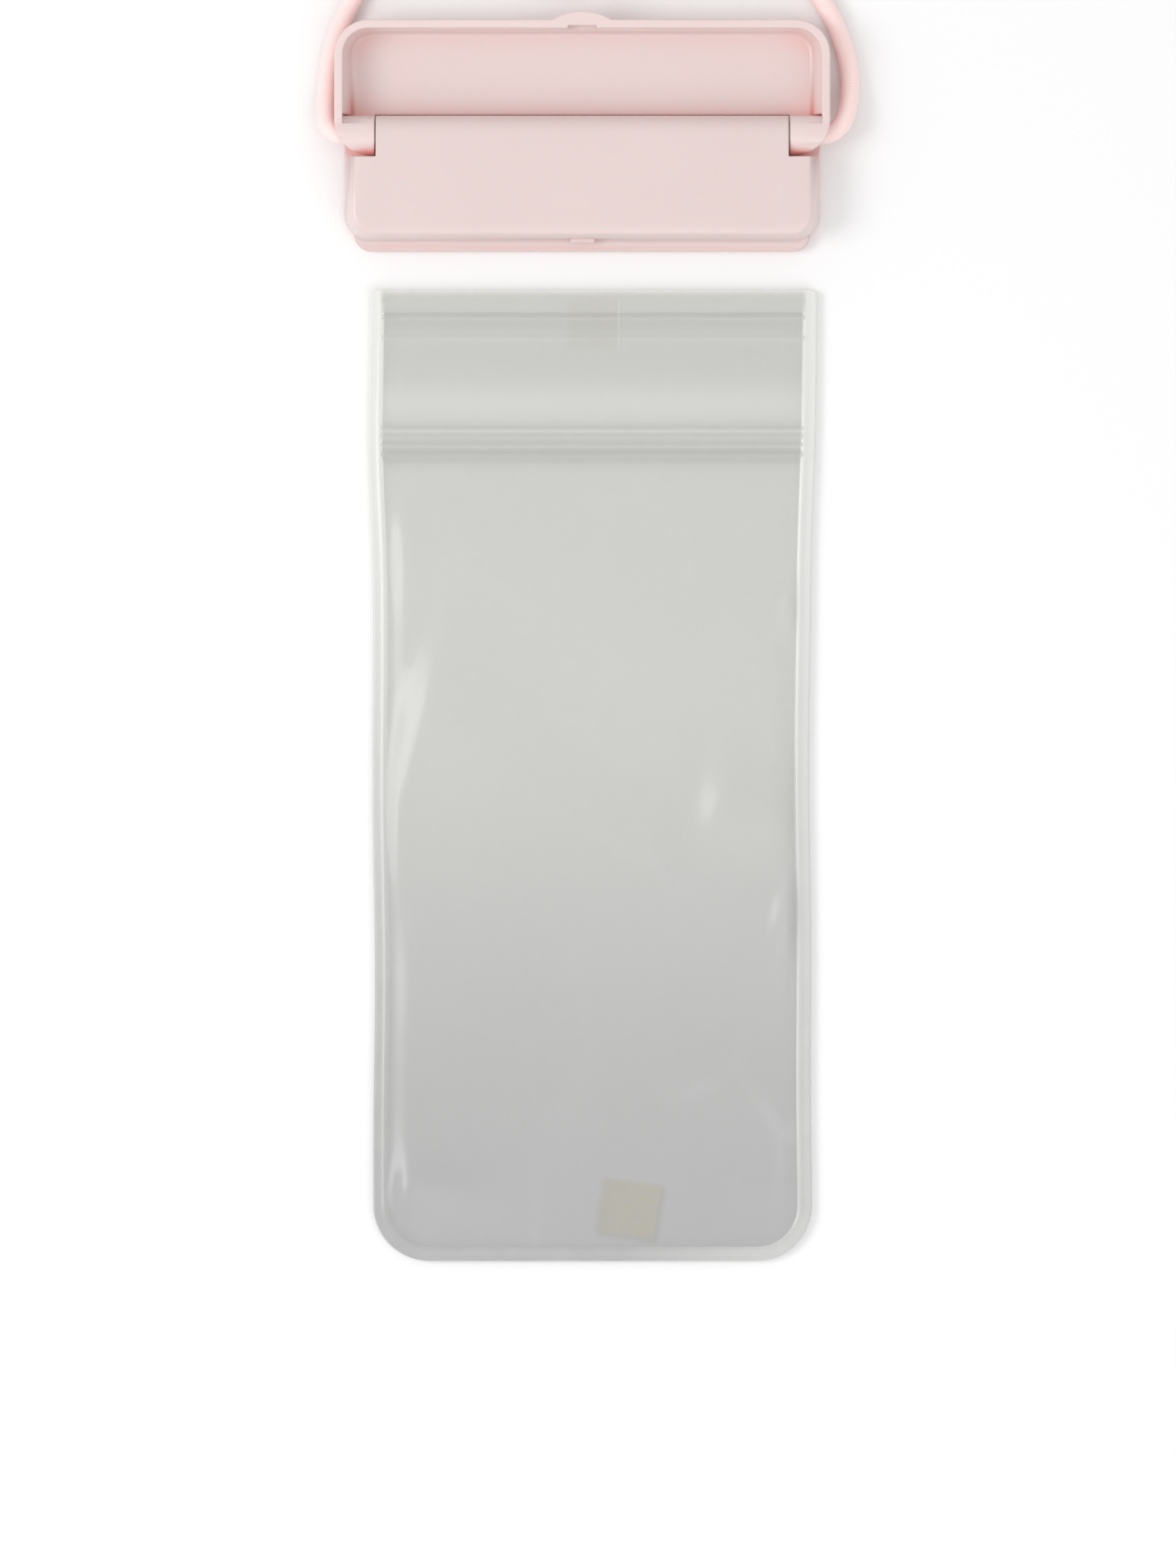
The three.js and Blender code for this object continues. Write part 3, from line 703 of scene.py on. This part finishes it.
def coil_points():
    """Clockwise turns, inwards on the lower layer and outwards on the upper one."""
    centre = Vector(((COIL_LOW.x + COIL_HIGH.x) / 2, (COIL_LOW.y + COIL_HIGH.y) / 2, 0))
    count = round(COIL_TURNS * COIL_POINTS_PER_TURN)
    half_turns = COIL_TURNS / 2
    points = []
    for index in range(1, count):
        turns = COIL_TURNS * index / count
        from_end = min(turns, COIL_TURNS - turns)
        radius = COIL_OUTER_TURN - COIL_TURN_PITCH * max(0.0, from_end - COIL_LEAD_TURNS)
        radius += COIL_LEAD * (1 - eased(from_end / COIL_LEAD_TURNS))
        climb = eased((turns - half_turns) / COIL_CLIMB_TURNS + 0.5)
        angle = math.pi - 2 * math.pi * turns
        height = COIL_LOWER_LAYER + (COIL_UPPER_LAYER - COIL_LOWER_LAYER) * climb
        points.append(centre + Vector((radius * math.cos(angle), radius * math.sin(angle), height)))
    return points


def route_points(route):
    return [Vector((x * MM, HINGE.y + y * MM, z * MM)) for x, y, z in route]


def smooth_path(points, spacing):
    """Points an even distance apart on a smooth curve through the given ones."""
    dense = []
    for index in range(len(points) - 1):
        a = points[max(index - 1, 0)]
        b, c = points[index], points[index + 1]
        d = points[min(index + 2, len(points) - 1)]
        start, slope = b * 2, c - a
        bend, twist = a * 2 - b * 5 + c * 4 - d, b * 3 - a - c * 3 + d
        for step in range(CURVE_STEPS):
            t = step / CURVE_STEPS
            dense.append((start + slope * t + bend * t * t + twist * t * t * t) / 2)
    dense.append(points[-1])
    lengths = [0.0]
    for first, second in zip(dense, dense[1:]):
        lengths.append(lengths[-1] + (second - first).length)
    count = max(2, round(lengths[-1] / spacing))
    even, seat = [], 0
    for index in range(count + 1):
        target = lengths[-1] * index / count
        while seat < len(lengths) - 2 and lengths[seat + 1] < target:
            seat += 1
        span = lengths[seat + 1] - lengths[seat]
        even.append(dense[seat].lerp(dense[seat + 1], (target - lengths[seat]) / span if span else 0))
    return even, lengths[-1]


def tube(name, path, radius, sides):
    """A closed tube along a path."""
    rings = []
    across = Vector((0, 0, 1))
    turns = [2 * math.pi * side / sides for side in range(sides)]
    for index, place in enumerate(path):
        ahead = (path[min(index + 1, len(path) - 1)] - path[max(index - 1, 0)]).normalized()
        across = (across - ahead * across.dot(ahead)).normalized()
        beside = ahead.cross(across)
        rings.append([place + (across * math.cos(turn) + beside * math.sin(turn)) * radius for turn in turns])
    return swept_piece(name, rings)


# Bag: two slack films inside a welded edge

BAG_LENGTH = BAG_HIGH.y - BAG_LOW.y
MOUTH_HALF = (BAG_HIGH.x - BAG_LOW.x) / 2
FOOT_NARROWING = 1.3 * MM
FOOT_HALF = MOUTH_HALF - FOOT_NARROWING
TAPER_START = 28 * MM
TAPER_END = 72 * MM
FOOT_RADIUS = 13.5 * MM
MOUTH_RADIUS = 2 * MM
SEAL_DROP = BAG_HIGH.y - SEAL_HIGH.y
SEAL_END = BAG_HIGH.y - SEAL_LOW.y
FILM_TOP = FRONT_FILM_HIGH.z
HEM_ROLL = 5.4 * MM
HEM_FLAP = 11.6 * MM

# How the cut edge wanders: the rise and length of each wave, and its shift from one side to the other
EDGE_WAVES = ((0.22 * MM, 31 * MM, 1), (0.16 * MM, 12.7 * MM, 2))

# Puckers of the slack film, each steep on its left and gentle on its right: middle across and down from
# the mouth, half length, half width, turn from straight down and rise, in millimetres and degrees
PUCKERS = (
    (-39.2, 101, 23, 8.5, -13, 2.3),
    (-46.5, 62, 16, 2.4, 2, 0.62),
    (-47.5, 134, 14, 2.4, 3, 0.7),
    (-44.5, 219, 7, 6, -10, 1.6),
    (32.5, 124, 12, 8.5, -14, 2.0),
    (50.5, 148, 11, 7.5, -16, 3.0),
    (51, 74, 7, 5, -24, 1.9),
    (50.5, 118, 13, 3.2, 2, 1.3),
    (-22, 72, 12, 2, 62, 0.22),
    (12, 101, 9, 2, -40, 0.3),
    (19, 112, 7, 2.4, -20, 0.35),
    (3, 132, 14, 2.2, 60, 0.25),
    (17, 142, 15, 2, 24, 0.35),
    (-8, 190, 18, 2.6, -18, 0.3),
    (-28, 176, 15, 2.6, 64, 0.25),
    (-36, 138, 12, 4, 75, 0.3),
)
PUCKER_FALL = 0.16

# The front film's slack: its even rise, its waves with their rise and their lengths down and across, how wide
# the band beside the weld is where the waves and the puckers come up, and how far the pocket's ends take
SLACK_RISE = 0.9 * MM
SLACK_SHARE = 0.6
SLACK_WAVES = ((0.6 * MM, 21 * MM, 30 * MM), (0.4 * MM, 9.3 * MM, -17 * MM))
SLACK_EDGE = 6 * MM
PUCKER_EDGE = 2.5 * MM
POCKET_START = 30 * MM
POCKET_END = 20 * MM

# Low ridges across the front film: name, middle down from the mouth, half width and rise
FRONT_LINES = (
    ("first rib", SEAL_DROP + 0.4 * MM, 0.4 * MM, 0.28 * MM),
    ("first jaw", SEAL_DROP + 2.2 * MM, 0.6 * MM, 0.34 * MM),
    ("second rib", SEAL_DROP + 4.4 * MM, 0.4 * MM, 0.22 * MM),
    ("second jaw", SEAL_DROP + 6.6 * MM, 0.6 * MM, 0.38 * MM),
    ("hem roll", HEM_ROLL / 2, 2.4 * MM, 0.5 * MM),
    ("hem lap", HEM_ROLL + 1.2 * MM, 0.4 * MM, 0.25 * MM),
    ("flap end", HEM_FLAP, 0.5 * MM, 0.18 * MM),
    ("hem crease", HEM_ROLL + 0.3 * MM, 0.3 * MM, -0.2 * MM),
)
NECK_DROP, NECK_WIDTH, NECK_RISE = 25 * MM, 6 * MM, 0.5 * MM

# Rows of the film: their distance, and where they are close together
FINE_ROW, FOOT_ROW, PLAIN_ROW = 0.3 * MM, 0.6 * MM, 1.6 * MM
FINE_HEM = 13.5 * MM
FINE_ABOVE_SEAL, FINE_BELOW_SEAL = 1.5 * MM, 1 * MM
FOOT_MARGIN = 1 * MM
FRONT_COLUMNS, BACK_COLUMNS = 84, 40
FILM_UNDER_WELD = 0.4 * MM

# Steps along the weld: round a mouth corner, down a side, round a foot corner and along half the foot
MOUTH_CORNER_STEPS, SIDE_STEPS, FOOT_CORNER_STEPS, HALF_FOOT_STEPS = 10, 60, 19, 12

# The weld's section from its cut edge inwards. Its foot: each point's distance from the edge and its height.
WELD_FOOT = ((0.03 * MM, 0.0), (0.0, 0.4 * MM))

# Its flat: each point's distance from the edge, and its height over the film's top
WELD_LAND = ((0.0, -0.5 * MM), (0.15 * MM, -0.1 * MM), (0.4 * MM, 0.02 * MM), (0.7 * MM, -0.03 * MM))

# Its bead: each point's distance from the weld's inner side, and its height over the film's top
WELD_BEAD = (
    (-1.6 * MM, -0.05 * MM),
    (-1.1 * MM, 0.2 * MM),
    (-0.8 * MM, 0.28 * MM),
    (-0.5 * MM, 0.22 * MM),
    (0.2 * MM, -0.06 * MM),
    (0.4 * MM, -0.8 * MM),
)
WELD_INNER = 0.4 * MM

# The bead starts at this share of its height at the mouth, and reaches all of it this far down
BEAD_LEAST = 0.5
BEAD_RISE_LENGTH = 60 * MM

# What keeps the section's points apart where a mouth corner draws them in
CORNER_SPREAD = 0.01


def edge_wave(side, drop):
    """How far the cut edge wanders from its line."""
    return sum(rise * math.sin(drop / length + shift * side) for rise, length, shift in EDGE_WAVES)


def half_width(side, drop):
    part = eased((drop - TAPER_START) / (TAPER_END - TAPER_START))
    return MOUTH_HALF + (FOOT_HALF - MOUTH_HALF) * part + edge_wave(side, drop)


def foot_inset(drop, inset):
    """How far the rounded foot corner draws the side in at this drop, for an outline drawn in by inset."""
    radius = FOOT_RADIUS - inset
    into = drop - (BAG_LENGTH - FOOT_RADIUS)
    if into <= 0:
        return 0.0
    into = min(into, radius)
    return radius - math.sqrt(max(0.0, radius * radius - into * into))


def ramp(part):
    """From 0 to 1 at an even slope, with soft ends."""
    part = min(1.0, max(0.0, part))
    soft = 0.25
    if part < soft:
        return part * part / (2 * soft * (1 - soft))
    if part > 1 - soft:
        return 1 - (1 - part) ** 2 / (2 * soft * (1 - soft))
    return (part - soft / 2) / (1 - soft)


def pucker_rise(x, drop):
    total = 0.0
    for middle, down, reach, width, turn, rise in PUCKERS:
        dx, dy = x - middle * MM, drop - down * MM
        sine, cosine = math.sin(math.radians(turn)), math.cos(math.radians(turn))
        along = (dy * cosine + dx * sine) / (reach * MM)
        across = (dx * cosine - dy * sine) / (width * MM)
        fold = math.exp(-PUCKER_FALL * across * across) if across > 0 else ramp(1 + across)
        total += rise * MM * math.exp(-along * along) * fold
    return total


def bell(value, middle, width):
    """1 in the middle and falling off to both sides."""
    return math.exp(-(((value - middle) / width) ** 2))


def front_height(x, drop, from_edge, strength):
    """Height of the front film's upper face."""
    settle, cling = eased(from_edge / SLACK_EDGE), eased(from_edge / PUCKER_EDGE)
    pocket = eased((drop - SEAL_END) / POCKET_START) * eased((BAG_LENGTH - drop) / POCKET_END)
    slack = sum(rise * math.sin(drop / down + x / across) for rise, down, across in SLACK_WAVES)
    rise = settle * (SLACK_RISE + slack * SLACK_SHARE) + cling * pucker_rise(x, drop)
    lines = sum(height * bell(drop, middle, width) for _, middle, width, height in FRONT_LINES)
    neck = NECK_RISE * bell(drop, NECK_DROP, NECK_WIDTH) * settle
    return FILM_TOP + pocket * strength * rise + lines + neck


def row_drops(inset):
    """Rows down the film, close together at the hem, the seal and the rounded foot."""
    drops, drop = [0.0], 0.0
    end = BAG_LENGTH - inset
    while drop < end:
        fine = drop < FINE_HEM or SEAL_DROP - FINE_ABOVE_SEAL < drop < SEAL_END + FINE_BELOW_SEAL
        near_foot = drop > BAG_LENGTH - FOOT_RADIUS - FOOT_MARGIN
        drop += FINE_ROW if fine else (FOOT_ROW if near_foot else PLAIN_ROW)
        drops.append(min(drop, end))
    return drops


def film_piece(name, inset, columns, height):
    """A film that follows the bag's outline, drawn in from it by an inset."""
    drops = row_drops(inset)

    def place(column, row):
        part = 2 * column / columns - 1
        drop = drops[row]
        reach = half_width(-1 if part < 0 else 1, drop) - inset - foot_inset(drop, inset)
        x = part * reach
        return BAG_X + x, BAG_HIGH.y - drop, height(x, drop, (1 - abs(part)) * reach)

    return grid_piece(name, columns, len(drops) - 1, place)


def film_sheets(settings):
    inset = settings.weld_width - FILM_UNDER_WELD
    strength = settings.pucker
    front = film_piece(
        "bag_front_sheet", inset, FRONT_COLUMNS, lambda x, drop, edge: front_height(x, drop, edge, strength)
    )
    back = film_piece("bag_back_sheet", inset, BACK_COLUMNS, lambda x, drop, edge: settings.film_thickness)
    for sheet in (front, back):
        apply_modifier(sheet, "SOLIDIFY", thickness=settings.film_thickness, offset=-1)
        select_only(sheet)
        bpy.ops.object.shade_smooth_by_angle(angle=FILM_SMOOTH)
    return front, back


def mouth_inset(drop):
    """How far the rounded mouth corner draws the side in at this drop."""
    into = max(0.0, MOUTH_RADIUS - drop)
    return MOUTH_RADIUS - math.sqrt(MOUTH_RADIUS * MOUTH_RADIUS - into * into)


def edge_stations():
    """Places along the welded edge, from the mouth down one side, round the foot and up the other."""
    corner = [MOUTH_RADIUS * (index / MOUTH_CORNER_STEPS) ** 2 for index in range(MOUTH_CORNER_STEPS)]
    straight = BAG_LENGTH - FOOT_RADIUS - MOUTH_RADIUS
    drops = corner + [MOUTH_RADIUS + straight * index / SIDE_STEPS for index in range(SIDE_STEPS + 1)]
    stations = [(-half_width(-1, drop), -drop, -1.0, 0.0) for drop in drops]
    for side in (-1, 1):
        for step in range(1, FOOT_CORNER_STEPS):
            angle = math.pi / 2 * step / FOOT_CORNER_STEPS
            turned = math.pi + angle if side < 0 else 1.5 * math.pi + angle
            middle = side * (half_width(side, BAG_LENGTH - FOOT_RADIUS) - FOOT_RADIUS)
            out_x, out_y = math.cos(turned), math.sin(turned)
            down = FOOT_RADIUS - BAG_LENGTH + FOOT_RADIUS * out_y
            stations.append((middle + FOOT_RADIUS * out_x, down, out_x, out_y))
        if side < 0:
            reach = FOOT_HALF - FOOT_RADIUS
            steps = range(2 * HALF_FOOT_STEPS + 1)
            stations.extend((reach * (step / HALF_FOOT_STEPS - 1), -BAG_LENGTH, 0.0, -1.0) for step in steps)
    stations.extend((half_width(1, drop), -drop, 1.0, 0.0) for drop in reversed(drops))
    return stations


def welded_edge(settings):
    """The flat weld with its rounded cut edge and the low bead along its inner side."""
    width, top = settings.weld_width, FILM_TOP
    section = [
        *WELD_FOOT,
        *((inset, top + rise) for inset, rise in WELD_LAND),
        *((width + inset, top + rise) for inset, rise in WELD_BEAD),
        (width + WELD_INNER, 0.0),
    ]
    rings = []
    for x, y, out_x, out_y in edge_stations():
        least = mouth_inset(-y)
        lift = BEAD_LEAST + (1 - BEAD_LEAST) * eased(-y / BEAD_RISE_LENGTH)
        raised = [(inset, top + (z - top) * lift if z > top else z) for inset, z in section]
        drawn = [(max(inset, least + inset * CORNER_SPREAD), z) for inset, z in raised]
        rings.append([(BAG_X + x - out_x * inset, BAG_HIGH.y + y - out_y * inset, z) for inset, z in drawn])
    return swept_piece("bag_welded_edge", rings)


# Stage

FLOOR_COLOUR = (0.87, 0.87, 0.87)
FLOOR_SIZE = 6.0
FLOOR_DROP = 0.05 * MM
CLIP_NEAR, CLIP_FAR = 0.01, 10.0
KEY_TURN = math.radians(4)
KEY_DISTANCE = 1.3
KEY_SIZE = 0.62
FILL_PLACE = Vector((0.4, -0.65, 1.1))
FILL_SIZE = 1.2


def soft_lamp(name, place, size, power):
    """A round soft lamp that faces the middle of the object."""
    lamp = bpy.data.objects.new(name, bpy.data.lights.new(name, "AREA"))
    bpy.context.scene.collection.objects.link(lamp)
    lamp.data.shape = "DISK"
    lamp.data.size = size
    lamp.data.energy = power
    lamp.location = place
    lamp.rotation_mode = "QUATERNION"
    lamp.rotation_quaternion = place.to_track_quat("Z", "Y")


# Operators


class POUCH_OT_stage(bpy.types.Operator):
    """Sets up the camera straight above, the pale floor and the soft light from the left"""

    bl_idname = "pouch.stage"
    bl_label = "Stage"

    def execute(self, context):
        settings = context.scene.pouch_stage
        camera = bpy.data.objects.new("camera", bpy.data.cameras.new("camera"))
        context.scene.collection.objects.link(camera)
        camera.location = (settings.view_x, settings.view_y, settings.camera_height)
        camera.data.lens = camera.data.sensor_width * settings.camera_height / settings.view_height
        camera.data.clip_start, camera.data.clip_end = CLIP_NEAR, CLIP_FAR
        context.scene.camera = camera

        bpy.ops.object.select_all(action="DESELECT")
        bpy.ops.mesh.primitive_plane_add(size=FLOOR_SIZE, location=(0, 0, 0))
        floor = context.active_object
        floor.name = "floor"
        floor.location.z = -FLOOR_DROP
        finish = Finish("floor")
        finish.surface(Base_Color=FLOOR_COLOUR, Roughness=0.9, Specular_IOR_Level=0.0)
        floor.data.materials.append(finish.material)

        world = bpy.data.worlds.new("world")
        world.use_nodes = True
        background = world.node_tree.nodes["Background"]
        background.inputs["Color"].default_value = (1, 1, 1, 1)
        background.inputs["Strength"].default_value = settings.ambient
        context.scene.world = world

        tilt = settings.key_tilt
        aside = -math.sin(tilt) * math.cos(KEY_TURN)
        key = Vector((aside, math.sin(tilt) * math.sin(KEY_TURN), math.cos(tilt)))
        soft_lamp("key_light", key * KEY_DISTANCE, KEY_SIZE, settings.key_power)
        soft_lamp("fill_light", FILL_PLACE, FILL_SIZE, settings.fill_power)
        context.scene.view_settings.view_transform = "Standard"
        return {"FINISHED"}


class POUCH_OT_cord(bpy.types.Operator):
    """Lays the neck cord from ear to ear through its stored coil, and ties the coil"""

    bl_idname = "pouch.cord"
    bl_label = "Neck cord"

    def execute(self, context):
        settings = context.scene.pouch_cord
        colour = tuple(settings.colour)
        route = route_points(LEFT_ROUTE) + coil_points() + list(reversed(route_points(RIGHT_ROUTE)))
        path, length = smooth_path(route, settings.station)
        cord = tube("neck_cord", path, CORD_DIAMETER / 2, settings.sides)
        weave = weave_finish("cord_weave", colour, length)
        nodes = "neck_cord_left", "neck_cord_right", "neck_cord_coil"
        finish_piece(cord, weave, "base_body", "cord_weave", *nodes)
        tie = moulded_copy("coil_tie", "coil_band")
        cloth = woven_block_finish("tie_fabric", shade(colour, TIE_SHADE))
        finish_piece(tie, cloth, "base_body", "tie_fabric", "coil_tie")
        hidden = frame["nodes"]["cord_in_hinge"]
        hidden.data.materials.clear()
        hidden.data.materials.append(woven_block_finish("cord_inside", colour))
        return {"FINISHED"}


class POUCH_OT_clip(bpy.types.Operator):
    """Finishes the clip's base and lid as satin mouldings with rounded edges"""

    bl_idname = "pouch.clip"
    bl_label = "Clip"

    def execute(self, context):
        settings = context.scene.pouch_clip
        colours = tuple(settings.colour), tuple(settings.corner_shade_colour)
        plastic = plastic_finish("clip_plastic", *colours, settings.edge_round, 0.0)
        # Painted light: the lid's colours are made lighter to make up for the light its walls keep off its
        # floor
        lid_lit_colours = [shade(colour, LID_PAINTED_LIGHT) for colour in colours]
        lid_lit_plastic = plastic_finish("lid_lit_plastic", *lid_lit_colours, settings.edge_round, LID_HIGH.z)
        base = moulded_copy("clip_base", "clip_base_moulding")
        lid = moulded_copy("clip_lid", "clip_lid_moulding")
        finish_piece(base, plastic, "base_body", "clip_plastic", "clip_base")
        finish_piece(lid, lid_lit_plastic, "lid_body", "clip_plastic", "clip_lid")
        return {"FINISHED"}


class POUCH_OT_bag(bpy.types.Operator):
    """Lays the two films and the weld round them, and gives the press seal between them its finish"""

    bl_idname = "pouch.bag"
    bl_label = "Bag"

    def execute(self, context):
        settings = context.scene.pouch_bag
        front, back = film_sheets(settings)
        edge = welded_edge(settings)
        front_film = film_finish("front_film", settings, True)
        back_film = film_finish("back_film", settings, False)
        finish_piece(front, front_film, "base_body", "clear_film", "bag_front_film")
        finish_piece(back, back_film, "base_body", "clear_film", "bag_back_film")
        finish_piece(edge, weld_finish(settings), "base_body", "weld_plastic", "bag_weld_rim")
        seal = seal_finish(settings)
        for node in ("seal_jaw_strip", "seal_rib_strip"):
            strip = frame["nodes"][node]
            strip.data.materials.clear()
            strip.data.materials.append(seal)
        return {"FINISHED"}


class POUCH_PT_panel(bpy.types.Panel):
    """Lists the pouch's pieces"""

    bl_idname = "POUCH_PT_panel"
    bl_label = "Pouch"
    bl_space_type = "VIEW_3D"
    bl_region_type = "UI"
    bl_category = "Pouch"

    def draw(self, context):
        scene = context.scene
        for operator, group in (
            (POUCH_OT_stage, scene.pouch_stage),
            (POUCH_OT_cord, scene.pouch_cord),
            (POUCH_OT_clip, scene.pouch_clip),
            (POUCH_OT_bag, scene.pouch_bag),
        ):
            box = self.layout.box()
            box.operator(operator.bl_idname)
            for name in group.__annotations__:
                box.prop(group, name)


GROUPS = {
    "pouch_stage": PouchStageSettings,
    "pouch_cord": PouchCordSettings,
    "pouch_clip": PouchClipSettings,
    "pouch_bag": PouchBagSettings,
}
CLASSES = (*GROUPS.values(), POUCH_OT_stage, POUCH_OT_cord, POUCH_OT_clip, POUCH_OT_bag, POUCH_PT_panel)


def register():
    for item in CLASSES:
        bpy.utils.register_class(item)
    for name, group in GROUPS.items():
        setattr(bpy.types.Scene, name, bpy.props.PointerProperty(type=group))


def unregister():
    for name in GROUPS:
        delattr(bpy.types.Scene, name)
    for item in reversed(CLASSES):
        bpy.utils.unregister_class(item)


def main():
    register()
    bpy.ops.pouch.stage()
    bpy.ops.pouch.cord()
    bpy.ops.pouch.clip()
    bpy.ops.pouch.bag()


if __name__ == "__main__":
    main()
